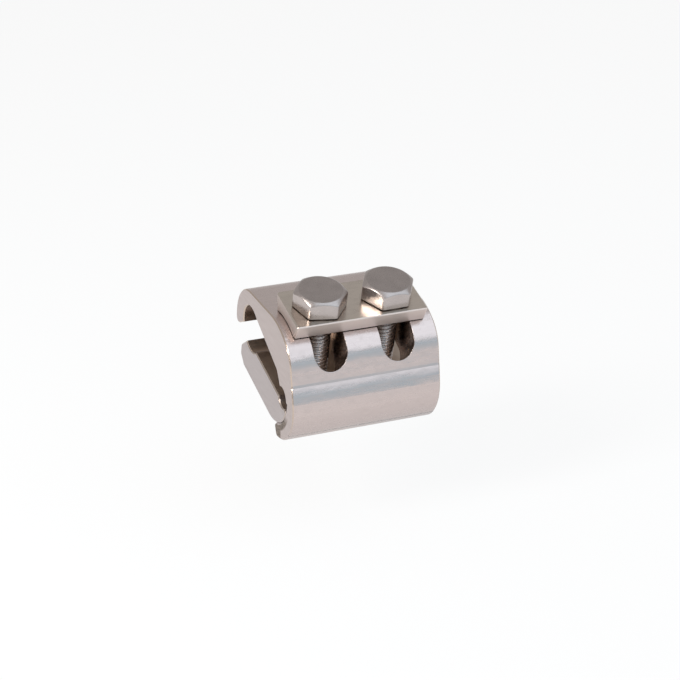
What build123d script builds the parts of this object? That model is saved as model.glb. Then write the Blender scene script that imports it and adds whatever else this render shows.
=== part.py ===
"""Parallel groove clamp for overhead line conductors.

A C-shaped front body, a lever jaw inside it, a saddle plate on its crown and two
M8 hexagon bolts that pull the jaw up. The saddle, the bolts and the jaw swing
together about the crown axis, so that the jaw suits conductors of unlike sizes.

Frame: X runs along both conductors, +Y points to the back, +Z is up. The origin
is the axis of the main groove at the middle of its length. Lengths in millimetres,
angles in degrees. A section angle is measured from +Y towards +Z.
"""
import os
from math import asin, atan2, cos, degrees, dist, radians, sin, sqrt, tan

from build123d import *

# ---- grooves for the two conductors -----------------------------------------
main_groove_radius = 6.7
tap_groove_radius = 3.0
tap_forward = 24.6
tap_drop = 9.9

# ---- crown, the arc that the saddle plate turns on ----------------------------
crown_forward = 16.5
crown_drop = 8.0
crown_radius = 19.1

# ---- front body ---------------------------------------------------------------
body_length = 42.5
end_chamfer = 0.3
hook_wall = 5.9
hook_shift = 0.3
hook_tip_slope = -25.0
hook_tip_rounding = 1.6
main_roof_start = -3.0
main_roof_end = 130.0
ridge_forward = 20.8
ridge_drop = 3.4
ridge_rounding = 2.0
tap_roof_start = 58.0
tap_roof_end = 184.0
front_wall_inset = 2.5
front_wall_lean = 8.0
front_corner_rounding = 10.0
toe_growth = 1.6
toe_wall = 3.5
toe_end = 270.0
lip_tip_angle = 263.0
lip_clearance = 0.15

# ---- slots in the crown -------------------------------------------------------
slot_side_clearance = 0.75
slot_back_lean = 9.5
slot_front_lean = 49.5

# ---- bolts ----------------------------------------------------------------------
bolt_pitch = 19.2
bolt_lean = 14.8
bolt_diameter = 8.0
bolt_length = 35.0
bolt_point_chamfer = 0.9
head_across_flats = 13.0
head_height = 5.3
head_chamfer_angle = 25.0
head_chamfer_share = 0.95
washer_face_height = 0.4
washer_face_diameter = 11.6
head_turn = {"left": -11.0, "right": 1.0}

# ---- saddle plate -------------------------------------------------------------
saddle_length = 37.2
saddle_thickness = 3.55
saddle_front_angle = 19.4
saddle_back_angle = 22.0
saddle_back_width = 8.4
saddle_clearance = 0.3
saddle_hole_clearance = 0.5
saddle_corner_rounding = 0.6
saddle_top_chamfer = 0.3

# ---- lower jaw ------------------------------------------------------------------
jaw_hole_clearance = 0.05
jaw_nose_land = 1.45
jaw_top_depth = 1.1
jaw_flat_length = 21.6
jaw_back_length = 24.7
jaw_back_foot_depth = 9.8
jaw_back_top_depth = 6.6
main_seat_end = 295.0
tap_seat_end = 230.0
jaw_back_rounding = 1.2


# ---- section geometry -----------------------------------------------------------
def polar(centre, radius, angle):
    """Section point at a radius and an angle from a centre."""
    y = centre[0] + radius * cos(radians(angle))
    z = centre[1] + radius * sin(radians(angle))
    return (y, z)


# ---- worked out from the sizes ---------------------------------------------------
main_axis = (0.0, 0.0)
tap_axis = (-tap_forward, -tap_drop)
crown_axis = (-crown_forward, -crown_drop)
ridge_corner = (-ridge_forward, -ridge_drop)
tap_seat_tip = polar(tap_axis, tap_groove_radius, tap_seat_end + bolt_lean)
jaw_nose_radius = dist(crown_axis, tap_seat_tip) + jaw_nose_land
jaw_nose_rounding = 0.4 * jaw_nose_land
jaw_length = body_length
lip_radius = jaw_nose_radius + lip_clearance
lip_tip_rounding = toe_wall / 3
toe_radius = lip_radius + toe_growth
toe_front = -crown_forward - crown_radius + front_wall_inset
toe_foot = -crown_drop - lip_radius - toe_wall
toe_axis = (toe_front + toe_radius, toe_foot + toe_radius)
saddle_radius = crown_radius + saddle_clearance
saddle_top = saddle_radius + saddle_thickness
hook_radius = main_groove_radius + hook_wall
crown_top = crown_radius - crown_drop
hook_axis = (hook_shift, crown_top - hook_radius)
slot_width = bolt_diameter + 2 * slot_side_clearance
bolt_place = {"left": -bolt_pitch / 2, "right": bolt_pitch / 2}
cutter_reach = saddle_top + head_height


def angle_from(centre, point):
    """Angle at which a section point is seen from a centre, from 0 to 360."""
    return degrees(atan2(point[1] - centre[1], point[0] - centre[0])) % 360


def arc(centre, radius, start, end):
    """Arc of the section from one angle to another."""
    middle = polar(centre, radius, (start + end) / 2)
    return ThreePointArc(polar(centre, radius, start), middle, polar(centre, radius, end))


def ray_to_circle(point, angle, centre, radius):
    """Where a ray from a section point leaves a circle."""
    across = (point[0] - centre[0], point[1] - centre[1])
    heading = (cos(radians(angle)), sin(radians(angle)))
    along = across[0] * heading[0] + across[1] * heading[1]
    square = across[0] ** 2 + across[1] ** 2
    run = sqrt(along ** 2 - square + radius ** 2) - along
    return (point[0] + run * heading[0], point[1] + run * heading[1])


def at_bolt(u, v):
    """Section point given across (u) and along (v) the bolts from the crown axis."""
    lean = radians(bolt_lean)
    y = crown_axis[0] + u * cos(lean) - v * sin(lean)
    z = crown_axis[1] + u * sin(lean) + v * cos(lean)
    return (y, z)


def along_bolt(point):
    """Distance of a section point from the crown axis along the bolts."""
    lean = radians(bolt_lean)
    return (point[1] - crown_axis[1]) * cos(lean) - (point[0] - crown_axis[0]) * sin(lean)


def seat_dip(centre, radius):
    """Angle below the bolts' square at which a groove meets the jaw's top face."""
    return degrees(asin((along_bolt(centre) + jaw_top_depth) / radius))


def section(curves, roundings):
    """Face of a closed run of curves, with its named corners rounded."""
    face = make_face(Curve() + curves)
    for radius, corner in roundings:
        nearest = face.vertices().sort_by_distance((*corner, 0))[0]
        face = fillet(nearest, radius)
    return face


def extruded(face, length):
    """Solid of a section, centred on the middle of the clamp."""
    return extrude(Plane.YZ * face, amount=length / 2, both=True)


def bolt_plane(x, v, lean=bolt_lean):
    """Plane square to a bolt, at a distance v from the crown axis, its Z outwards."""
    out = (0, -sin(radians(lean)), cos(radians(lean)))
    origin = Vector(x, *crown_axis) + Vector(*out) * v
    return Plane(origin=origin, x_dir=(1, 0, 0), z_dir=out)


def end_edges(solid, length):
    """Edges round both end faces of an extruded piece."""
    ends = solid.edges().filter_by_position(Axis.X, -length / 2, -length / 2)
    return ends + solid.edges().filter_by_position(Axis.X, length / 2, length / 2)


# ---- front body -------------------------------------------------------------------
def body_section():
    """C-shaped section: hook, crown, front wall, toe lip and the two groove roofs."""
    hook_tip_inner = polar(main_axis, main_groove_radius, main_roof_start)
    hook_tip_outer = ray_to_circle(hook_tip_inner, hook_tip_slope, hook_axis, hook_radius)
    hook_start = (angle_from(hook_axis, hook_tip_outer) + 180) % 360 - 180
    toe_start = 180 - front_wall_lean
    toe_top = polar(toe_axis, toe_radius, toe_start)
    front_corner = ray_to_circle(toe_top, 90 - front_wall_lean, crown_axis, crown_radius)
    lip_tip = polar(crown_axis, lip_radius, lip_tip_angle)
    toe_tip = polar(toe_axis, toe_radius, toe_end)
    tap_front = polar(tap_axis, tap_groove_radius, tap_roof_end)
    lip_front_angle = angle_from(crown_axis, tap_front)
    tap_back = polar(tap_axis, tap_groove_radius, tap_roof_start)
    main_front = polar(main_axis, main_groove_radius, main_roof_end)
    curves = [
        arc(hook_axis, hook_radius, hook_start, 90),
        Line((hook_axis[0], crown_top), (crown_axis[0], crown_top)),
        arc(crown_axis, crown_radius, 90, angle_from(crown_axis, front_corner)),
        Line(front_corner, toe_top),
        arc(toe_axis, toe_radius, toe_start, toe_end),
        Line(toe_tip, lip_tip),
        arc(crown_axis, lip_radius, lip_tip_angle, lip_front_angle),
        Line(polar(crown_axis, lip_radius, lip_front_angle), tap_front),
        arc(tap_axis, tap_groove_radius, tap_roof_end, tap_roof_start),
        Line(tap_back, ridge_corner),
        Line(ridge_corner, main_front),
        arc(main_axis, main_groove_radius, main_roof_end, main_roof_start),
        Line(hook_tip_inner, hook_tip_outer),
    ]
    roundings = [
        (front_corner_rounding, front_corner),
        (lip_tip_rounding, lip_tip),
        (lip_tip_rounding, toe_tip),
        (ridge_rounding, ridge_corner),
        (hook_tip_rounding, hook_tip_outer),
    ]
    return section(curves, roundings)


def crown_slot(x):
    """Cutter of one slot: a wedge about the crown axis with a round end at each lean."""
    back = polar(crown_axis, cutter_reach, 90 + slot_back_lean)
    front = polar(crown_axis, cutter_reach, 90 + slot_front_lean)
    wedge = extruded(make_face(Polyline(crown_axis, back, front, close=True)), slot_width)
    cutter = Pos(x, 0, 0) * wedge
    for lean in (slot_back_lean, slot_front_lean):
        drill = Cylinder(slot_width / 2, cutter_reach, align=(Align.CENTER, Align.CENTER, Align.MIN))
        cutter += bolt_plane(x, 0, lean) * drill
    return cutter


def front_body():
    """Extruded shell with a slot for each bolt."""
    body = extruded(body_section(), body_length)
    body = chamfer(end_edges(body, body_length), end_chamfer)
    for x in bolt_place.values():
        body -= crown_slot(x)
    return body


# ---- lower jaw ----------------------------------------------------------------------
def jaw_section():
    """Lever section: a seat for each conductor, a round nose and a flat underside."""
    main_start = 180 + seat_dip(main_axis, main_groove_radius) + bolt_lean
    main_end = main_seat_end + bolt_lean
    tap_start = 360 - seat_dip(tap_axis, tap_groove_radius) + bolt_lean
    tap_end = tap_seat_end + bolt_lean
    nose_angle = angle_from(crown_axis, tap_seat_tip)
    nose_tip = polar(crown_axis, jaw_nose_radius, nose_angle)
    back_top = at_bolt(jaw_back_length, -jaw_back_top_depth)
    back_foot = at_bolt(jaw_back_length, -jaw_back_foot_depth)
    flat_end = at_bolt(jaw_flat_length, -jaw_nose_radius)
    flat_start = at_bolt(0, -jaw_nose_radius)
    curves = [
        Line(polar(tap_axis, tap_groove_radius, tap_start),
             polar(main_axis, main_groove_radius, main_start)),
        arc(main_axis, main_groove_radius, main_start, main_end),
        Line(polar(main_axis, main_groove_radius, main_end), back_top),
        Line(back_top, back_foot),
        Line(back_foot, flat_end),
        Line(flat_end, flat_start),
        arc(crown_axis, jaw_nose_radius, 270 + bolt_lean, nose_angle),
        Line(nose_tip, tap_seat_tip),
        arc(tap_axis, tap_groove_radius, tap_end, tap_start),
    ]
    roundings = [
        (jaw_nose_rounding, nose_tip),
        (jaw_back_rounding, back_top),
        (jaw_back_rounding, back_foot),
    ]
    return section(curves, roundings)


def lower_jaw():
    """Lever jaw with a hole for each bolt, square to its underside."""
    jaw = extruded(jaw_section(), jaw_length)
    jaw = chamfer(end_edges(jaw, jaw_length), end_chamfer)
    for x in bolt_place.values():
        hole = Cylinder(bolt_diameter / 2 + jaw_hole_clearance, 2 * cutter_reach)
        jaw -= bolt_plane(x, 0) * hole
    return jaw


# ---- saddle plate -----------------------------------------------------------------
def saddle_plate():
    """Plate with a flat top and a hollow underside that turns on the crown."""
    front = radians(saddle_front_angle)
    back = radians(saddle_back_angle)
    outline = Polyline(
        at_bolt(-saddle_radius * sin(front), saddle_radius * cos(front)),
        at_bolt(-saddle_top * tan(front), saddle_top),
        at_bolt(saddle_back_width, saddle_top),
        at_bolt(saddle_radius * sin(back), saddle_radius * cos(back)),
    )
    upright = 90 + bolt_lean
    hollow = arc(crown_axis, saddle_radius, upright - saddle_back_angle,
                 upright + saddle_front_angle)
    plate = extruded(make_face(Curve() + [outline, hollow]), saddle_length)
    plate = fillet(plate_corners(plate), saddle_corner_rounding)
    top = plate.faces().sort_by_distance(bolt_plane(0, saddle_top).origin)[0]
    plate = chamfer(top.edges(), saddle_top_chamfer)
    for x in bolt_place.values():
        hole = Cylinder(bolt_diameter / 2 + saddle_hole_clearance, 2 * cutter_reach)
        plate -= bolt_plane(x, 0) * hole
    return plate


def plate_corners(plate):
    """The four upright edges at the ends of the saddle plate."""
    ends = end_edges(plate, saddle_length)
    return [edge for edge in ends if edge.length < 2 * saddle_thickness]


# ---- bolts ------------------------------------------------------------------------
def clamp_bolt(x, turn):
    """M8 bolt with a chamfered hexagon head on a washer face."""
    hexagon = RegularPolygon(head_across_flats / 2, 6, major_radius=False, rotation=turn)
    head = Pos(0, 0, washer_face_height) * extrude(hexagon, head_height - washer_face_height)
    crown = head_chamfer_share * head_across_flats / 2
    spread = crown + head_height / tan(radians(head_chamfer_angle))
    from_base = (Align.CENTER, Align.CENTER, Align.MIN)
    from_top = (Align.CENTER, Align.CENTER, Align.MAX)
    head = head & Cone(spread, crown, head_height, align=from_base)
    head += Cylinder(washer_face_diameter / 2, washer_face_height, align=from_base)
    shank = Cylinder(bolt_diameter / 2, bolt_length, align=from_top)
    shank = chamfer(shank.edges().sort_by(Axis.Z)[0], bolt_point_chamfer)
    return bolt_plane(x, saddle_top) * (head + shank)


# ---- export -----------------------------------------------------------------------
def main():
    os.makedirs("parts", exist_ok=True)
    pieces = {
        "front_body": front_body(),
        "lower_jaw": lower_jaw(),
        "saddle_plate": saddle_plate(),
    }
    for side, x in bolt_place.items():
        pieces["clamp_bolt_" + side] = clamp_bolt(x, head_turn[side])
    for name, piece in pieces.items():
        export_step(piece, os.path.join("parts", name + ".step"))


main()
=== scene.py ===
"""Parallel groove clamp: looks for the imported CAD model.

The extruded body, jaw and saddle plate are the CAD's own solids with new finishes.
The two bolts are remade with rounded heads and real threads. Run as a script in
Blender, it makes the finishes, the bolts, the floor, the lights and the camera.
Lengths are in metres, in the CAD's frame.
"""

import math

import bmesh
import bpy
from mathutils import Matrix, Vector


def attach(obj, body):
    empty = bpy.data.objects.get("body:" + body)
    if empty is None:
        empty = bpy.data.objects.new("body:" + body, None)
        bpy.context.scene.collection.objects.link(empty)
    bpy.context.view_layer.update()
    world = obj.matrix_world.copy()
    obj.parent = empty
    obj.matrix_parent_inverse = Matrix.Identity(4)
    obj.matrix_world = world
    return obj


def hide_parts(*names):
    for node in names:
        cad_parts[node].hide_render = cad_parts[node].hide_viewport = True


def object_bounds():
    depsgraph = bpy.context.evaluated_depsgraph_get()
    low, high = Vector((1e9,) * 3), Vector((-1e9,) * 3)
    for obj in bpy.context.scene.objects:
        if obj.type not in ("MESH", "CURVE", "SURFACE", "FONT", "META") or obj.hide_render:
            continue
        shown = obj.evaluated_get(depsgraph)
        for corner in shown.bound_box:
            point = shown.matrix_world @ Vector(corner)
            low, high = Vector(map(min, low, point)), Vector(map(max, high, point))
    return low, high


bl_info = {
    "name": "Parallel Groove Clamp",
    "version": (1, 0, 0),
    "blender": (4, 5, 0),
    "location": "3D View > Sidebar > Clamp",
    "description": "Bolts, finishes and studio for a parallel groove clamp",
    "category": "Object",
}

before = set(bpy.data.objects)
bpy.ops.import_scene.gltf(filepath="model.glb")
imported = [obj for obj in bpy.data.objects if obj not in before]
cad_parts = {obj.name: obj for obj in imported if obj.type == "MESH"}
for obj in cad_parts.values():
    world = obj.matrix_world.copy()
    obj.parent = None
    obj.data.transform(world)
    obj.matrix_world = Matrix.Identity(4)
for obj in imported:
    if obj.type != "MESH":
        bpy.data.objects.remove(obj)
CAD_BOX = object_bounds()

MM = 0.001

# The crown axis as (Y, Z), and the top of the saddle plate above it.
CROWN_AXIS = (-16.5 * MM, -8.0 * MM)
SADDLE_TOP = 22.95 * MM

# Bolt heads: steps around, the dished middle of the top disc, and the rounded edges.
HEAD_STEPS = 96
DISH_SHARE = 0.55
DISH_DEPTH = 0.04 * MM
EDGE_SEGMENTS = 2
EDGE_FROM_ANGLE = math.radians(18.0)

# Threads: steps around and per turn, and the flank between crest and root in turns.
THREAD_STEPS_AROUND = 48
THREAD_STEPS_PER_TURN = 8
FLANK = (0.0625, 0.375)
THREAD_EXTRA_TURNS = 2.0
THREAD_TOP_GAP = 0.001 * MM
THREAD_MERGE = 0.002 * MM
THREAD_LEAST_FACES = 1000

# Noise grains: sizes along X, Y and Z, detail, roughness and seed.
DIE_LINES = ((60 * MM, 0.7 * MM, 0.7 * MM), 4.0, 0.65, 0.0)
DIE_BANDS = ((90 * MM, 3.0 * MM, 3.0 * MM), 2.0, 0.6, 3.0)
WALL_WAVES = ((9 * MM, 5 * MM, 5 * MM), 2.0, 0.5, 11.0)
WALL_MARKS = ((2.2 * MM, 1.4 * MM, 1.4 * MM), 5.0, 0.65, 7.0)
WALL_PITS = ((0.5 * MM, 0.4 * MM, 0.4 * MM), 2.0, 0.5, 13.0)
SAW_LINES = ((0.4 * MM, 7 * MM, 0.18 * MM), 3.0, 0.6, 5.0)
LIP_RIDGES = ((3 * MM, 1.4 * MM, 0.35 * MM), 4.0, 0.7, 9.0)
PLATE_LINES = ((50 * MM, 0.3 * MM, 0.3 * MM), 4.0, 0.65, 0.0)
PLATE_MARKS = ((3 * MM, 1.6 * MM, 1.6 * MM), 5.0, 0.65, 7.0)
PLATE_WAVES = ((12 * MM, 4 * MM, 4 * MM), 2.0, 0.5, 11.0)
STEEL_BLOTCHES = ((3 * MM, 3 * MM, 3 * MM), 4.0, 0.6, 2.0)
STEEL_GRAIN = ((0.35 * MM, 0.35 * MM, 0.35 * MM), 4.0, 0.7, 4.0)

# Values of a noise between which a mark fades in.
EVEN_SPREAD = (0.3, 0.7)
LINE_SPREAD = (0.35, 0.65)
MARK_SPREAD = (0.45, 0.7)
DULL_MARK_SPREAD = (0.5, 0.75)
PIT_SPREAD = (0.66, 0.78)

# Heights of the relief, and the radius of the worn edges.
DIE_LINE_HEIGHT = 0.016 * MM
WALL_WAVE_HEIGHT = 0.20 * MM
WALL_MARK_HEIGHT = 0.03 * MM
WALL_PIT_DEPTH = 0.012 * MM
SAW_HEIGHT = 0.008 * MM
LIP_RIDGE_HEIGHT = 0.1 * MM
PLATE_LINE_HEIGHT = 0.012 * MM
PLATE_WAVE_HEIGHT = 0.08 * MM
BLOTCH_HEIGHT = 0.05 * MM
GRAIN_HEIGHT = 0.012 * MM
WORN_EDGE = 0.2 * MM
WORN_EDGE_SAMPLES = 6

# How much darker or lighter a place is than its metal's colour: one factor, one for
# each channel, or the two ends of a mix.
MARK_SHADE = 0.92
LINE_SHADE = 0.96
# The next factor is painted shade that darkens the walls towards the bottom.
TOE_PAINTED_SHADE = 0.86
# The next factor is painted shade that darkens walls facing the crown axis and the bolt slots.
CAVITY_PAINTED_SHADE = (0.80, 0.76, 0.66)
# The next factor is painted shade in the bolt slots.
SLOT_PAINTED_SHADE = (0.90, 0.86, 0.76)
CUT_SHADES = (0.87, 0.78)
# The next pair spreads the toe lip's painted shade between darker and lighter ridges.
LIP_PAINTED_SHADES = (0.5, 2.0)
PLATE_MARK_SHADE = 0.9
PLATE_END_SHADE = 0.66
HEAD_TOP_SHADES = (0.85, 1.15)
HEAD_SIDE_SHADES = (0.9, 1.1)
# The next gain is painted light that makes the bolt heads' flats brighter than their tops.
HEAD_FLAT_PAINTED_LIGHT = 1.3
THREAD_SHADE = 1.1

# Roughness, from and to, or what is added to it.
BODY_ROUGH = (0.2, 0.34)
JAW_ROUGH = (0.26, 0.4)
MARK_ROUGH = 0.1
CAVITY_ROUGH = 0.06
SLOT_ROUGH = 0.2
CUT_ROUGH = (0.3, 0.42)
LIP_ROUGH = 0.55
PLATE_ROUGH = (0.18, 0.28)
PLATE_SIDE_ROUGH = 0.32
HEAD_ROUGH = (0.24, 0.38)
THREAD_ROUGH = (0.2, 0.34)

# Where a finish starts and is complete, by the way a face looks.
END_FACING = (0.8, 0.95)
# The next range finds the bolt slots' walls, which are rougher and carry painted shade.
SLOT_FACING = (0.5, 0.7)
FRONT_FACING = (-0.5, -0.7)
# The next range places painted shade on walls that face the crown axis.
CAVITY_FACING = (0.35, 0.15)
# The next range fades in the painted light on the bolt heads' flats.
HEAD_SIDE_FACING = (0.98, 0.0)

# Where a finish starts and is complete, by its place on the body or the jaw.
SAWN_ENDS_X = (17 * MM, 17.5 * MM)
# The next range fades in the painted shade towards the bottom of the walls.
TOE_Z = (-12.0 * MM, -19.0 * MM)
# The next three ranges place the painted shade on the ends of the toe lip.
LIP_INSIDE_RADIUS = (14.2 * MM, 13.8 * MM)
LIP_Z = (-14.0 * MM, -16.5 * MM)
LIP_TIP_Y = (-23.4 * MM, -22.6 * MM)

# The soft step along the front wall: its front, its upper curve and its lower slope.
STEP_Y = (-29.0 * MM, -29.5 * MM)
STEP_UPPER_Z = (-6.6 * MM, -3.9 * MM)
STEP_UPPER_HEIGHT = 0.52 * MM
STEP_UPPER_CURVE = 1.4
STEP_LOWER_Z = (-3.2 * MM, -8.6 * MM)
STEP_LOWER_HEIGHT = 0.62 * MM

# Studio: the floor's half width and glow, and the place and aim of lamps and camera.
FLOOR_HALF_WIDTH = 3.0
FLOOR_COLOUR = (0.9, 0.9, 0.9)
FLOOR_ROUGH = 0.9
FLOOR_GLOW_SEEN = 0.85
FLOOR_GLOW_MIRRORED = 0.45
SKY_COLOUR = (1.0, 0.985, 0.975)
LAMP_AIM = (0.0, -0.015, -0.005)
CAMERA_PLACE = (-0.1629, -0.4265, 0.1966)
CAMERA_LOOKING = (0.3348, 0.8500, -0.4067)
SENSOR_WIDTH = 36.0
CAMERA_CLIP = (0.01, 20.0)

# Lamps: direction from the clamp, distance, width and height, power in watts and colour.
LAMPS = {
    "key": ((-0.80, -0.22, 0.56), 0.60, (0.16, 0.24), 2.2, (1.0, 0.98, 0.94)),
    "front": ((0.33, -0.52, 0.79), 0.80, (1.0, 0.86), 2.7, (0.70, 0.86, 1.0)),
    "low_front": ((0.34, -0.92, 0.17), 0.90, (1.2, 0.34), 0.40, (0.0, 0.62, 1.0)),
}


# ---- settings ------------------------------------------------------------------------
def length(name, description, default):
    """A length setting."""
    return bpy.props.FloatProperty(name=name, description=description, default=default,
                                   min=0.0, subtype="DISTANCE", unit="LENGTH")


def angle(name, description, degrees):
    """An angle setting, with its default given in degrees."""
    return bpy.props.FloatProperty(name=name, description=description,
                                   default=math.radians(degrees), subtype="ANGLE",
                                   unit="ROTATION")


def colour(name, description, default):
    """A colour setting."""
    return bpy.props.FloatVectorProperty(name=name, description=description, size=3,
                                         default=default, min=0.0, max=1.0, subtype="COLOR")


class BoltSettings(bpy.types.PropertyGroup):
    """Sizes of the two clamp bolts."""

    lean: angle("Lean", "How far the bolts lean forward from upright", 14.8)
    pitch: length("Bolt pitch", "Distance between the two bolts", 19.2 * MM)
    across_flats: length("Across flats", "Width of the hexagon head", 13.0 * MM)
    across_corners: length("Across corners", "Width over the rounded corners", 14.75 * MM)
    top_disc: length("Top disc", "Diameter of the flat disc on top of the head", 11.8 * MM)
    cone: angle("Cone slope", "Slope of the head's coned edge below the disc", 36.0)
    head_height: length("Head height", "From the washer face to the top", 5.3 * MM)
    washer_face: length("Washer face", "Height of the round face under the head", 0.25 * MM)
    washer_diameter: length("Washer face diameter", "Diameter of that face", 12.2 * MM)
    edge: length("Edge rounding", "Rounding of the forged head's edges", 0.14 * MM)
    shank: length("Shank length", "From under the head to the point", 35.0 * MM)
    diameter: length("Thread diameter", "Outside diameter of the thread", 7.92 * MM)
    thread_pitch: length("Thread pitch", "Distance from one turn to the next", 1.25 * MM)
    thread_depth: length("Thread depth", "From the crest to the root", 0.74 * MM)
    point: length("Point chamfer", "Chamfer at the end of the shank", 0.9 * MM)
    left_turn: angle("Left head turn", "How far the left head is turned", -11.0)
    right_turn: angle("Right head turn", "How far the right head is turned", 1.0)


class FinishSettings(bpy.types.PropertyGroup):
    """Colours of the metals, and of the painted shade on the toe lip."""

    body: colour("Body", "Extruded aluminium of the front body", (0.635, 0.54, 0.515))
    jaw: colour("Jaw", "Extruded aluminium of the lower jaw", (0.57, 0.50, 0.49))
    plate: colour("Saddle plate", "Top of the sawn aluminium plate", (0.58, 0.515, 0.455))
    plate_edge: colour("Saddle plate edges", "Rougher front and ends of the plate",
                       (0.80, 0.69, 0.64))
    bolt: colour("Bolts", "Cold forged stainless steel", (0.39, 0.345, 0.33))
    # The toe lip's colour is painted shade on the lip's ends.
    lip_shade_tint: colour("Painted lip shade", "Rough, darker end of the toe lip", (0.19, 0.155, 0.13))


class StudioSettings(bpy.types.PropertyGroup):
    """Floor, even light and camera."""

    floor_drop: length("Floor drop", "Distance of the floor below the clamp", 28.0 * MM)
    lens: bpy.props.FloatProperty(
        name="Lens", description="Focal length of the camera in millimetres",
        default=93.97, min=1.0, unit="CAMERA")
    sky: bpy.props.FloatProperty(
        name="Sky", description="Strength of the even light from all sides",
        default=0.55, min=0.0)


# ---- small helpers -------------------------------------------------------------------
def bolt_frame(sizes, side):
    """Matrix that puts a bolt made along Z, its seat at the origin, where it belongs."""
    x = sizes.pitch / 2 * (-1 if side == "left" else 1)
    out = Vector((0, -math.sin(sizes.lean), math.cos(sizes.lean)))
    seat = Vector((x, *CROWN_AXIS)) + out * SADDLE_TOP
    return Matrix.Translation(seat) @ Matrix.Rotation(sizes.lean, 4, "X")


def mesh_piece(name, mesh, body, material):
    """A finished piece of the object that rides on a CAD body."""
    piece = bpy.data.objects.new(name, mesh)
    bpy.context.collection.objects.link(piece)
    mesh.materials.clear()
    mesh.materials.append(material)
    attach(piece, body)
    return piece


def settled_mesh(piece):
    """The piece's mesh with its modifiers carried out."""
    graph = bpy.context.evaluated_depsgraph_get()
    graph.update()
    return bpy.data.meshes.new_from_object(piece.evaluated_get(graph))


def outward(mesh):
    """The mesh with its normals recalculated to point out, shaded smooth."""
    work = bmesh.new()
    work.from_mesh(mesh)
    bmesh.ops.recalc_face_normals(work, faces=work.faces)
    for item in work.faces:
        item.smooth = True
    work.to_mesh(mesh)
    work.free()
    return mesh


def edges_rounded(mesh, width):
    """The mesh with its sharp edges rounded by a bevel."""
    holder = bpy.data.objects.new("holder", mesh)
    bpy.context.collection.objects.link(holder)
    bevel = holder.modifiers.new("edges", "BEVEL")
    bevel.width = width
    bevel.segments = EDGE_SEGMENTS
    bevel.limit_method = "ANGLE"
    bevel.angle_limit = EDGE_FROM_ANGLE
    result = settled_mesh(holder)
    bpy.data.objects.remove(holder)
    return result


# ---- node helpers --------------------------------------------------------------------
class Nodes:
    """Short way to add and join nodes of a tree."""

    def __init__(self, tree):
        self.tree = tree

    def add(self, kind, **settings):
        """A new node with its settings."""
        node = self.tree.nodes.new(kind)
        for key, value in settings.items():
            setattr(node, key, value)
        return node

    def join(self, source, target):
        """Links an output to an input."""
        self.tree.links.new(source, target)

    def feed(self, socket, value):
        """Gives an input a fixed value, or links an output to it."""
        if isinstance(value, bpy.types.NodeSocket):
            self.join(value, socket)
        else:
            socket.default_value = value

    def math(self, operation, *values, clamp=False):
        """The output of a Math node."""
        node = self.add("ShaderNodeMath", operation=operation, use_clamp=clamp)
        for socket, value in zip(node.inputs, values):
            self.feed(socket, value)
        return node.outputs[0]

    def times(self, one, two):
        """One number times another."""
        return self.math("MULTIPLY", one, two)

    def total(self, first, *others):
        """The sum of two or more numbers."""
        for other in others:
            first = self.math("ADD", first, other)
        return first

    def remap(self, value, low, high, to_low=0.0, to_high=1.0):
        """A number carried from one range to another, and held at its ends."""
        node = self.add("ShaderNodeMapRange")
        for socket, item in zip(node.inputs, (value, low, high, to_low, to_high)):
            self.feed(socket, item)
        return node.outputs[0]


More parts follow.
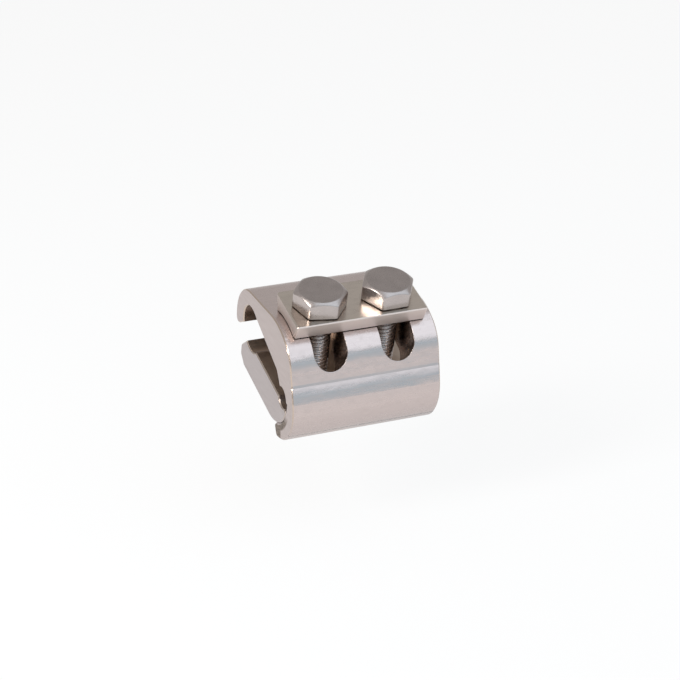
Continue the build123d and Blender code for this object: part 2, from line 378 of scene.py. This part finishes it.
# ---- threads -------------------------------------------------------------------------
def thread_tree():
    """Geometry nodes that wind a screw thread down a shank, and the tree's inputs."""
    tree = bpy.data.node_groups.new("screw_thread", "GeometryNodeTree")
    kinds = {"Length": "Float", "Pitch": "Float", "Radius": "Float", "Depth": "Float",
             "Point": "Float", "Around": "Int", "Steps per turn": "Int",
             "Material": "Material"}
    inputs = {name: tree.interface.new_socket(name, in_out="INPUT",
                                              socket_type=f"NodeSocket{kind}")
              for name, kind in kinds.items()}
    tree.interface.new_socket("Thread", in_out="OUTPUT", socket_type="NodeSocketGeometry")
    n = Nodes(tree)
    given = n.add("NodeGroupInput").outputs

    # A grid that is rolled up: X goes once round the shank, Y goes down turn by turn.
    turns = n.total(n.math("DIVIDE", given["Length"], given["Pitch"]), THREAD_EXTRA_TURNS)
    rows = n.total(n.math("ROUND", n.times(turns, given["Steps per turn"])), 1.0)
    grid = n.add("GeometryNodeMeshGrid")
    n.feed(grid.inputs["Size X"], 1.0)
    n.feed(grid.inputs["Size Y"], 1.0)
    n.feed(grid.inputs["Vertices X"], n.total(given["Around"], 1.0))
    n.feed(grid.inputs["Vertices Y"], rows)
    place = n.add("ShaderNodeSeparateXYZ")
    n.join(n.add("GeometryNodeInputPosition").outputs[0], place.inputs[0])
    share_round = n.total(place.outputs["X"], 0.5)
    turn = n.times(n.total(place.outputs["Y"], 0.5), turns)
    height = n.times(n.math("SUBTRACT", share_round, turn), given["Pitch"])

    # The radius: crest, flank and root, cut back to the chamfered point and closed at both ends.
    root = n.math("SUBTRACT", given["Radius"], given["Depth"])
    flank = n.remap(n.math("PINGPONG", turn, 0.5), *FLANK, given["Radius"], root)
    tip = n.math("SUBTRACT", given["Radius"], given["Point"])
    above_end = n.total(height, given["Length"])
    radius = n.math("MINIMUM", flank, n.total(tip, n.math("MAXIMUM", above_end, 0.0)))
    step = n.math("DIVIDE", given["Pitch"], given["Steps per turn"])
    below_top = n.math("LESS_THAN", height, -THREAD_TOP_GAP)
    near_end = n.math("GREATER_THAN", above_end, n.times(step, -1.0))
    radius = n.times(radius, n.times(below_top, near_end))
    height = n.math("MAXIMUM", n.math("MINIMUM", height, 0.0),
                    n.times(given["Length"], -1.0))

    around = n.times(share_round, math.tau)
    point = n.add("ShaderNodeCombineXYZ")
    n.join(n.times(radius, n.math("COSINE", around)), point.inputs[0])
    n.join(n.times(radius, n.math("SINE", around)), point.inputs[1])
    n.join(height, point.inputs[2])
    placed = n.add("GeometryNodeSetPosition")
    n.join(grid.outputs["Mesh"], placed.inputs["Geometry"])
    n.join(point.outputs[0], placed.inputs["Position"])
    merged = n.add("GeometryNodeMergeByDistance")
    n.join(placed.outputs[0], merged.inputs["Geometry"])
    n.feed(merged.inputs["Distance"], THREAD_MERGE)
    real = n.add("GeometryNodeRealizeInstances")
    n.join(merged.outputs[0], real.inputs[0])
    coated = n.add("GeometryNodeSetMaterial")
    n.join(real.outputs[0], coated.inputs["Geometry"])
    n.join(given["Material"], coated.inputs["Material"])
    n.join(coated.outputs[0], n.add("NodeGroupOutput").inputs[0])
    return tree, inputs


def thread_mesh(sizes, material):
    """Threaded shank, from under the head at the origin down to its point."""
    tree, inputs = thread_tree()
    holder = bpy.data.objects.new("holder", bpy.data.meshes.new("empty"))
    bpy.context.collection.objects.link(holder)
    modifier = holder.modifiers.new("thread", "NODES")
    modifier.node_group = tree
    values = {
        "Length": sizes.shank,
        "Pitch": sizes.thread_pitch,
        "Radius": sizes.diameter / 2,
        "Depth": sizes.thread_depth,
        "Point": sizes.point,
        "Around": THREAD_STEPS_AROUND,
        "Steps per turn": THREAD_STEPS_PER_TURN,
        "Material": material,
    }
    for name, value in values.items():
        modifier[inputs[name].identifier] = value
    mesh = settled_mesh(holder)
    bpy.data.objects.remove(holder)
    if len(mesh.polygons) < THREAD_LEAST_FACES:
        raise RuntimeError("the thread has too few faces")
    return outward(mesh)


# ---- bolt heads ----------------------------------------------------------------------
def head_ring(sizes, from_flat):
    """Radius and height of the head's points at an angle from the middle of a flat."""
    reach = min(sizes.across_flats / 2 / math.cos(from_flat), sizes.across_corners / 2)
    disc = sizes.top_disc / 2
    washer = sizes.washer_diameter / 2
    shoulder = sizes.head_height - (reach - disc) * math.tan(sizes.cone)
    return [
        (washer, 0.0),
        (washer, sizes.washer_face),
        (reach, sizes.washer_face),
        (reach, shoulder),
        (disc, sizes.head_height),
        (disc * DISH_SHARE, sizes.head_height - DISH_DEPTH),
    ]


def head_mesh(sizes, turn):
    """Hexagon head with a coned top, on its round washer face."""
    work = bmesh.new()
    grid = []
    half_side = math.pi / 6
    for step in range(HEAD_STEPS):
        around = math.tau * step / HEAD_STEPS
        from_flat = (around + half_side) % (2 * half_side) - half_side
        around += turn + half_side
        grid.append([work.verts.new((r * math.cos(around), r * math.sin(around), z))
                     for r, z in head_ring(sizes, from_flat)])
    for here, there in zip(grid, grid[1:] + grid[:1]):
        for row in range(len(here) - 1):
            work.faces.new((here[row], there[row], there[row + 1], here[row + 1]))
    work.faces.new([column[-1] for column in grid])
    work.faces.new([column[0] for column in reversed(grid)])
    mesh = bpy.data.meshes.new("head")
    work.to_mesh(mesh)
    work.free()
    return edges_rounded(outward(mesh), sizes.edge)


# ---- parts of the finishes -----------------------------------------------------------
def metal(name, build):
    """A metal made by a function that is given the nodes and the shader."""
    material = bpy.data.materials.new(name)
    material.use_nodes = True
    shader = material.node_tree.nodes["Principled BSDF"]
    shader.inputs["Metallic"].default_value = 1.0
    build(Nodes(material.node_tree), shader)
    return material


def grained(n, sizes, detail, roughness, seed):
    """Noise on object coordinates with its own grain size along each axis."""
    mapping = n.add("ShaderNodeMapping")
    n.join(n.add("ShaderNodeTexCoord").outputs["Object"], mapping.inputs["Vector"])
    mapping.inputs["Scale"].default_value = tuple(1.0 / size for size in sizes)
    mapping.inputs["Location"].default_value = (seed, seed, seed)
    noise = n.add("ShaderNodeTexNoise", noise_dimensions="3D")
    n.join(mapping.outputs[0], noise.inputs["Vector"])
    noise.inputs["Scale"].default_value = 1.0
    noise.inputs["Detail"].default_value = detail
    noise.inputs["Roughness"].default_value = roughness
    return noise.outputs["Fac"]


def mixed(n, share, one, two):
    """Colour between two colours."""
    mix = n.add("ShaderNodeMix", data_type="RGBA")
    n.feed(mix.inputs["Factor"], share)
    for socket, value in ((mix.inputs[6], one), (mix.inputs[7], two)):
        n.feed(socket, value if isinstance(value, bpy.types.NodeSocket) else (*value, 1.0))
    return mix.outputs[2]


def blend(n, share, one, two):
    """Number between two numbers."""
    mix = n.add("ShaderNodeMix", data_type="FLOAT")
    n.feed(mix.inputs[0], share)
    n.feed(mix.inputs[2], one)
    n.feed(mix.inputs[3], two)
    return mix.outputs[0]


def shaded(tint, *factors):
    """A colour made darker or lighter, by one factor or by one for each channel."""
    if len(factors) == 1:
        factors *= len(tint)
    return tuple(min(1.0, value * factor) for value, factor in zip(tint, factors))


def bumped(n, height):
    """Normal of a surface with worn edges, raised by a height in metres."""
    worn_edges = n.add("ShaderNodeBevel", samples=WORN_EDGE_SAMPLES)
    worn_edges.inputs["Radius"].default_value = WORN_EDGE
    bump = n.add("ShaderNodeBump")
    n.join(worn_edges.outputs[0], bump.inputs["Normal"])
    bump.inputs["Distance"].default_value = 1.0
    bump.inputs["Strength"].default_value = 1.0
    n.join(height, bump.inputs["Height"])
    return bump.outputs[0]


def place_and_facing(n):
    """Object coordinates and the parts of the face's own normal."""
    place = n.add("ShaderNodeSeparateXYZ")
    n.join(n.add("ShaderNodeTexCoord").outputs["Object"], place.inputs[0])
    facing = n.add("ShaderNodeSeparateXYZ")
    n.join(n.add("ShaderNodeNewGeometry").outputs["True Normal"], facing.inputs[0])
    return place.outputs, facing.outputs


def about_crown(n, place):
    """Distance from the crown axis, and the way from it: (distance, y, z)."""
    across = n.math("SUBTRACT", place["Y"], CROWN_AXIS[0])
    up = n.math("SUBTRACT", place["Z"], CROWN_AXIS[1])
    away = n.math("SQRT", n.total(n.math("POWER", across, 2.0), n.math("POWER", up, 2.0)))
    return away, n.math("DIVIDE", across, away), n.math("DIVIDE", up, away)


def sawn_end(n, place, facing):
    """1 on the sawn ends and 0 elsewhere."""
    looks_along = n.remap(n.math("ABSOLUTE", facing["X"]), *END_FACING)
    return n.times(looks_along, n.remap(n.math("ABSOLUTE", place["X"]), *SAWN_ENDS_X))


def painted_hollow_shade(n, place, facing):
    """1 on walls that look towards the crown axis, and in the bolt slots, where shade is
    painted.
    """
    _, across, up = about_crown(n, place)
    outward_share = n.total(n.times(across, facing["Y"]), n.times(up, facing["Z"]))
    return n.remap(outward_share, *CAVITY_FACING)


def wall_step(n, place):
    """Height of the soft step that runs along the front wall."""
    fading = n.math("POWER", n.remap(place["Z"], *STEP_UPPER_Z), STEP_UPPER_CURVE)
    upper = n.times(n.math("SUBTRACT", 1.0, fading), STEP_UPPER_HEIGHT)
    lower = n.remap(place["Z"], *STEP_LOWER_Z, 0.0, STEP_LOWER_HEIGHT)
    return n.times(n.remap(place["Y"], *STEP_Y), n.total(upper, lower))


def lip_shade_patch(n, place, end):
    """1 on the rough ends of the toe lip, which carry painted shade."""
    away, _, _ = about_crown(n, place)
    inside = n.remap(away, *LIP_INSIDE_RADIUS)
    tip = n.remap(place["Y"], *LIP_TIP_Y)
    low = n.remap(place["Z"], *LIP_Z)
    return n.times(end, n.times(low, n.math("MAXIMUM", inside, tip)))


# ---- finishes ------------------------------------------------------------------------
def extruded_aluminium(name, tint, wall_rough, lip_shade_tint=None):
    """Satin aluminium with die lines along X, faint handling marks and sawn ends.

    With the colour of the lip's painted shade it also has the front body's painted lip shade and
    wall step. Its hollows, bolt slots and lower walls carry painted shade.
    """
    def build(n, shader):
        place, facing = place_and_facing(n)
        end = sawn_end(n, place, facing)
        shaded_hollows = painted_hollow_shade(n, place, facing)
        crosswise = n.remap(n.math("ABSOLUTE", facing["X"]), *SLOT_FACING)
        # Milled slot walls: rougher, and darkened by painted shade.
        milled = n.math("SUBTRACT", crosswise, end, clamp=True)
        lines = grained(n, *DIE_LINES)
        marks = grained(n, *WALL_MARKS)
        saw = grained(n, *SAW_LINES)

        base = mixed(n, n.remap(marks, *MARK_SPREAD), tint, shaded(tint, MARK_SHADE))
        base = mixed(n, n.remap(lines, *LINE_SPREAD), shaded(tint, LINE_SHADE), base)
        # Painted shade on walls that face the crown axis.
        base = mixed(n, shaded_hollows, base, shaded(tint, *CAVITY_PAINTED_SHADE))
        base = mixed(n, milled, base, shaded(tint, *SLOT_PAINTED_SHADE))
        # Painted shade: walls darker towards the bottom.
        base = mixed(n, n.remap(place["Z"], *TOE_Z), base, shaded(tint, TOE_PAINTED_SHADE))
        saw_share = n.remap(saw, *EVEN_SPREAD)
        cut = mixed(n, saw_share, *(shaded(tint, shade) for shade in CUT_SHADES))
        base = mixed(n, end, base, cut)

        rough = n.total(n.remap(grained(n, *DIE_BANDS), *EVEN_SPREAD, *wall_rough),
                        n.remap(marks, *DULL_MARK_SPREAD, 0.0, MARK_ROUGH),
                        n.times(shaded_hollows, CAVITY_ROUGH))
        rough = blend(n, milled, rough, SLOT_ROUGH)
        rough = blend(n, end, rough, n.remap(saw, *EVEN_SPREAD, *CUT_ROUGH))

        pits = n.remap(grained(n, *WALL_PITS), *PIT_SPREAD)
        height = n.total(n.times(lines, DIE_LINE_HEIGHT),
                         n.times(grained(n, *WALL_WAVES), WALL_WAVE_HEIGHT),
                         n.times(pits, -WALL_PIT_DEPTH),
                         n.times(marks, WALL_MARK_HEIGHT))
        if lip_shade_tint is not None:
            height = n.total(height, wall_step(n, place))
        height = blend(n, end, height, n.times(saw, SAW_HEIGHT))
        # The toe lip's ends get painted shade over ridged bumps.
        if lip_shade_tint is not None:
            lip_shade_share = lip_shade_patch(n, place, end)
            ridges = grained(n, *LIP_RIDGES)
            painted_lip_shade = mixed(n, n.remap(ridges, *LINE_SPREAD),
                         *(shaded(lip_shade_tint, shade) for shade in LIP_PAINTED_SHADES))
            base = mixed(n, lip_shade_share, base, painted_lip_shade)
            rough = blend(n, lip_shade_share, rough, LIP_ROUGH)
            height = blend(n, lip_shade_share, height, n.times(ridges, LIP_RIDGE_HEIGHT))
        n.join(base, shader.inputs["Base Color"])
        n.join(rough, shader.inputs["Roughness"])
        n.join(bumped(n, height), shader.inputs["Normal"])
    return metal(name, build)


def sawn_plate(name, tint, edge_tint):
    """Flat aluminium bar, sawn and milled: fine lines along X, rougher edges."""
    def build(n, shader):
        _, facing = place_and_facing(n)
        ends = n.remap(n.math("ABSOLUTE", facing["X"]), *END_FACING)
        sides = n.math("MAXIMUM", ends, n.remap(facing["Y"], *FRONT_FACING))
        marks = grained(n, *PLATE_MARKS)
        top = mixed(n, n.remap(marks, *MARK_SPREAD), tint, shaded(tint, PLATE_MARK_SHADE))
        rim = mixed(n, ends, edge_tint, shaded(edge_tint, PLATE_END_SHADE))
        rough = n.total(n.remap(marks, *EVEN_SPREAD, *PLATE_ROUGH),
                        n.times(sides, PLATE_SIDE_ROUGH))
        height = n.total(n.times(grained(n, *PLATE_LINES), PLATE_LINE_HEIGHT),
                         n.times(grained(n, *PLATE_WAVES), PLATE_WAVE_HEIGHT))
        n.join(mixed(n, sides, top, rim), shader.inputs["Base Color"])
        n.join(rough, shader.inputs["Roughness"])
        n.join(bumped(n, height), shader.inputs["Normal"])
    return metal(name, build)


def forged_steel(name, tint, lean, steel_rough, flat_painted_light=1.0):
    """Stainless steel, forged and tumbled: soft blotches and tiny dents, with painted light that
    brightens the flats.
    """
    def build(n, shader):
        _, facing = place_and_facing(n)
        along = n.total(n.times(facing["Y"], -math.sin(lean)),
                        n.times(facing["Z"], math.cos(lean)))
        side = n.math("SQRT", n.remap(n.math("ABSOLUTE", along), *HEAD_SIDE_FACING))
        blotches = grained(n, *STEEL_BLOTCHES)
        grain = grained(n, *STEEL_GRAIN)
        top = mixed(n, blotches, *(shaded(tint, shade) for shade in HEAD_TOP_SHADES))
        # Painted light: flats brighter than the top.
        flats = mixed(n, blotches,
                      *(shaded(tint, shade * flat_painted_light) for shade in HEAD_SIDE_SHADES))
        height = n.total(n.times(blotches, BLOTCH_HEIGHT), n.times(grain, GRAIN_HEIGHT))
        n.join(mixed(n, side, top, flats), shader.inputs["Base Color"])
        n.join(n.remap(grain, *EVEN_SPREAD, *steel_rough), shader.inputs["Roughness"])
        n.join(bumped(n, height), shader.inputs["Normal"])
    return metal(name, build)


def dress(node, material):
    """Gives a CAD node its finish."""
    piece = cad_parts[node]
    piece.data.materials.clear()
    piece.data.materials.append(material)


# ---- studio --------------------------------------------------------------------------
def pale_floor(height):
    """White floor that shows pale to the camera and keeps the clamp's soft shadow."""
    mesh = bpy.data.meshes.new("floor")
    corners = [(x * FLOOR_HALF_WIDTH, y * FLOOR_HALF_WIDTH, height)
               for x, y in ((-1, -1), (1, -1), (1, 1), (-1, 1))]
    mesh.from_pydata(corners, [], [(0, 1, 2, 3)])
    floor = bpy.data.objects.new("floor", mesh)
    bpy.context.collection.objects.link(floor)
    material = bpy.data.materials.new("floor_white")
    material.use_nodes = True
    n = Nodes(material.node_tree)
    shader = material.node_tree.nodes["Principled BSDF"]
    shader.inputs["Base Color"].default_value = (*FLOOR_COLOUR, 1.0)
    shader.inputs["Roughness"].default_value = FLOOR_ROUGH
    glow = n.add("ShaderNodeEmission")
    glow.inputs["Strength"].default_value = 1.0
    rays = n.add("ShaderNodeLightPath").outputs
    mirrored = n.math("MAXIMUM", rays["Is Glossy Ray"], rays["Is Transmission Ray"])
    seen = n.math("MAXIMUM", n.times(rays["Is Camera Ray"], FLOOR_GLOW_SEEN),
                  n.times(mirrored, FLOOR_GLOW_MIRRORED))
    mix = n.add("ShaderNodeMixShader")
    n.join(seen, mix.inputs[0])
    n.join(shader.outputs[0], mix.inputs[1])
    n.join(glow.outputs[0], mix.inputs[2])
    n.join(mix.outputs[0], material.node_tree.nodes["Material Output"].inputs[0])
    mesh.materials.append(material)


def even_sky(strength):
    """Plain light from all sides."""
    world = bpy.data.worlds.new("sky")
    bpy.context.scene.world = world
    world.use_nodes = True
    background = world.node_tree.nodes["Background"]
    background.inputs["Color"].default_value = (*SKY_COLOUR, 1.0)
    background.inputs["Strength"].default_value = strength


def soft_box(name, direction, distance, size, power, tint):
    """Soft light seen from the clamp in a direction, and aimed back at it."""
    light = bpy.data.lights.new(name, "AREA")
    light.color = tint
    light.shape = "RECTANGLE"
    light.size, light.size_y = size
    light.energy = power
    away = Vector(direction).normalized()
    box = bpy.data.objects.new(name, light)
    box.location = Vector(LAMP_AIM) + away * distance
    box.rotation_euler = (-away).to_track_quat("-Z", "Y").to_euler()
    bpy.context.collection.objects.link(box)


def camera(lens):
    """Camera a little left of the front, looking down on the clamp."""
    data = bpy.data.cameras.new("camera")
    data.lens = lens
    data.sensor_width = SENSOR_WIDTH
    data.clip_start, data.clip_end = CAMERA_CLIP
    place = bpy.data.objects.new("camera", data)
    place.location = CAMERA_PLACE
    place.rotation_euler = Vector(CAMERA_LOOKING).to_track_quat("-Z", "Y").to_euler()
    bpy.context.collection.objects.link(place)
    bpy.context.scene.camera = place


# ---- operators -----------------------------------------------------------------------
class CLAMP_OT_aluminium(bpy.types.Operator):
    """Finish the body, the jaw and the saddle plate"""

    bl_idname = "clamp.aluminium"
    bl_label = "Finish the Aluminium"

    def execute(self, context):
        tints = context.scene.clamp_finish
        body_satin = extruded_aluminium("body_satin", tints.body, BODY_ROUGH, tints.lip_shade_tint)
        dress("front_body", body_satin)
        dress("lower_jaw", extruded_aluminium("jaw_satin", tints.jaw, JAW_ROUGH))
        dress("saddle_plate", sawn_plate("plate_satin", tints.plate, tints.plate_edge))
        return {"FINISHED"}


class CLAMP_OT_bolts(bpy.types.Operator):
    """Make the two bolts, each with a forged head and a rolled thread"""

    bl_idname = "clamp.bolts"
    bl_label = "Make the Bolts"

    def execute(self, context):
        sizes = context.scene.clamp_bolts
        tint = context.scene.clamp_finish.bolt
        head_steel = forged_steel("head_steel", tint, sizes.lean, HEAD_ROUGH, HEAD_FLAT_PAINTED_LIGHT)
        thread_steel = forged_steel("thread_steel", shaded(tint, THREAD_SHADE), sizes.lean,
                                    THREAD_ROUGH)
        for side, turn in (("left", sizes.left_turn), ("right", sizes.right_turn)):
            place = bolt_frame(sizes, side)
            head = head_mesh(sizes, turn)
            head.transform(place)
            head_piece = mesh_piece(f"bolt_head_{side}", head, f"bolt_{side}",
                                    head_steel)
            shank = thread_mesh(sizes, thread_steel)
            shank.transform(place)
            mesh_piece(f"bolt_thread_{side}", shank, f"bolt_{side}",
                       thread_steel)
            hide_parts(f"clamp_bolt_{side}")
        return {"FINISHED"}


class CLAMP_OT_studio(bpy.types.Operator):
    """Set up the floor, the lights and the camera"""

    bl_idname = "clamp.studio"
    bl_label = "Set Up the Studio"

    def execute(self, context):
        studio = context.scene.clamp_studio
        pale_floor(CAD_BOX[0].z - studio.floor_drop)
        even_sky(studio.sky)
        for name, lamp in LAMPS.items():
            soft_box(name, *lamp)
        camera(studio.lens)
        context.scene.view_settings.view_transform = "Standard"
        return {"FINISHED"}


# ---- panel ---------------------------------------------------------------------------
class CLAMP_PT_panel(bpy.types.Panel):
    """Sizes, colours and steps of the clamp"""

    bl_label = "Parallel Groove Clamp"
    bl_idname = "CLAMP_PT_panel"
    bl_space_type = "VIEW_3D"
    bl_region_type = "UI"
    bl_category = "Clamp"

    def draw(self, context):
        for group in ("clamp_bolts", "clamp_finish", "clamp_studio"):
            settings = getattr(context.scene, group)
            for name in settings.__annotations__:
                self.layout.prop(settings, name)
        for step in STEPS:
            self.layout.operator(step)


CLASSES = (BoltSettings, FinishSettings, StudioSettings, CLAMP_OT_aluminium,
           CLAMP_OT_bolts, CLAMP_OT_studio, CLAMP_PT_panel)
STEPS = ("clamp.aluminium", "clamp.bolts", "clamp.studio")


def register():
    """Adds the classes and their settings to Blender."""
    for item in CLASSES:
        bpy.utils.register_class(item)
    bpy.types.Scene.clamp_bolts = bpy.props.PointerProperty(type=BoltSettings)
    bpy.types.Scene.clamp_finish = bpy.props.PointerProperty(type=FinishSettings)
    bpy.types.Scene.clamp_studio = bpy.props.PointerProperty(type=StudioSettings)


def unregister():
    """Takes the settings and classes out again."""
    del bpy.types.Scene.clamp_studio
    del bpy.types.Scene.clamp_finish
    del bpy.types.Scene.clamp_bolts
    for item in reversed(CLASSES):
        bpy.utils.unregister_class(item)


def main():
    """Makes the clamp and its studio."""
    register()
    bpy.ops.clamp.aluminium()
    bpy.ops.clamp.bolts()
    bpy.ops.clamp.studio()


if __name__ == "__main__":
    main()
